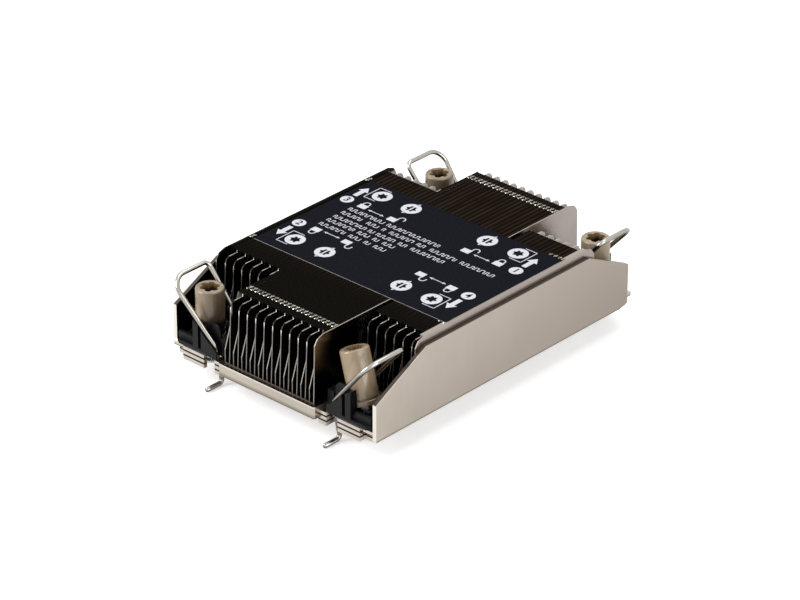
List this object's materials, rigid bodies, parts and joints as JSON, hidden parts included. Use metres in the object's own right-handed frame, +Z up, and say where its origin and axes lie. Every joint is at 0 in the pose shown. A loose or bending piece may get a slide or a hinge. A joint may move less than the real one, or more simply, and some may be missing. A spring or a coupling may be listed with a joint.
{
  "type": "passive server cpu heatsink",
  "caption": "Low passive heatsink with a zip-fin stack on a plated base, side plates, captive corner nuts and swinging wire bails.",
  "frame": {"origin": "middle of the pedestal's contact face", "axes": "+X across the width to the picture's right, +Y along the air flow to the rear, +Z up from the contact face"},
  "size_m": [0.078, 0.114, 0.031],
  "materials": {
    "base_nickel": "satin nickel plating",
    "fin_sheet": "rolled sheet, dull",
    "side_plate_nickel": "satin nickel plating",
    "layer_steel": "bright nickel plating",
    "label_film": "satin printed film",
    "retainer_plastic": "moulded black",
    "wire_steel": "bright spring wire",
    "nut_plastic": "moulded natural tan",
    "insert_steel": "bright zinc plating"
  },
  "bodies": {
    "heatsink": {"base_plate": "base_nickel", "left_fins_full": "fin_sheet", "center_fins_full": "fin_sheet", "right_fins_full": "fin_sheet", "left_fins_swept": "fin_sheet", "center_fins_swept": "fin_sheet", "right_fins_swept": "fin_sheet", "center_end_fin": "fin_sheet", "left_outer_wall": "fin_sheet", "right_outer_wall": "fin_sheet", "left_side_plate": "side_plate_nickel", "right_side_plate": "side_plate_nickel", "carrier_frame": "layer_steel", "floor_front_left": "layer_steel", "spacer_front_left": "layer_steel", "floor_front_right": "layer_steel", "spacer_front_right": "layer_steel", "floor_rear_left": "layer_steel", "spacer_rear_left": "layer_steel", "floor_rear_right": "layer_steel", "spacer_rear_right": "layer_steel", "label": "label_film", "retainer_front_left": "retainer_plastic", "retainer_front_right": "retainer_plastic", "retainer_rear_left": "retainer_plastic", "retainer_rear_right": "retainer_plastic"},
    "bail_front_left": {"wire_front_left": "wire_steel"},
    "captive_nut_front_left": {"nut_front_left": "nut_plastic", "insert_front_left": "insert_steel", "snap_ring_front_left": "insert_steel"},
    "bail_front_right": {"wire_front_right": "wire_steel"},
    "captive_nut_front_right": {"nut_front_right": "nut_plastic", "insert_front_right": "insert_steel", "snap_ring_front_right": "insert_steel"},
    "bail_rear_left": {"wire_rear_left": "wire_steel"},
    "captive_nut_rear_left": {"nut_rear_left": "nut_plastic", "insert_rear_left": "insert_steel", "snap_ring_rear_left": "insert_steel"},
    "bail_rear_right": {"wire_rear_right": "wire_steel"},
    "captive_nut_rear_right": {"nut_rear_right": "nut_plastic", "insert_rear_right": "insert_steel", "snap_ring_rear_right": "insert_steel"}
  },
  "joints": [
    {"name": "bail_front_left_swing", "type": "hinge", "parent": "heatsink", "child": "bail_front_left", "pos_m": [-0.0224, -0.0467, 0.009], "axis": [0, 1, 0], "range_deg": [0, 27]},
    {"name": "nut_front_left_turn", "type": "hinge", "parent": "heatsink", "child": "captive_nut_front_left", "pos_m": [-0.0297, -0.0474, 0.0073], "axis": [0, 0, 1], "continuous": true},
    {"name": "bail_front_right_swing", "type": "hinge", "parent": "heatsink", "child": "bail_front_right", "pos_m": [0.0224, -0.0467, 0.009], "axis": [0, -1, 0], "range_deg": [0, 27]},
    {"name": "nut_front_right_turn", "type": "hinge", "parent": "heatsink", "child": "captive_nut_front_right", "pos_m": [0.0286, -0.0472, 0.00868], "axis": [-0.325, 0.0602, 0.9438], "continuous": true},
    {"name": "bail_rear_left_swing", "type": "hinge", "parent": "heatsink", "child": "bail_rear_left", "pos_m": [-0.0224, 0.0467, 0.009], "axis": [0, 1, 0], "range_deg": [0, 27]},
    {"name": "nut_rear_left_turn", "type": "hinge", "parent": "heatsink", "child": "captive_nut_rear_left", "pos_m": [-0.0297, 0.0474, 0.0073], "axis": [0, 0, 1], "continuous": true},
    {"name": "bail_rear_right_swing", "type": "hinge", "parent": "heatsink", "child": "bail_rear_right", "pos_m": [0.0224, 0.0467, 0.009], "axis": [0, -1, 0], "range_deg": [0, 27]},
    {"name": "nut_rear_right_turn", "type": "hinge", "parent": "heatsink", "child": "captive_nut_rear_right", "pos_m": [0.0297, 0.0474, 0.0073], "axis": [0, 0, 1], "continuous": true}
  ]
}
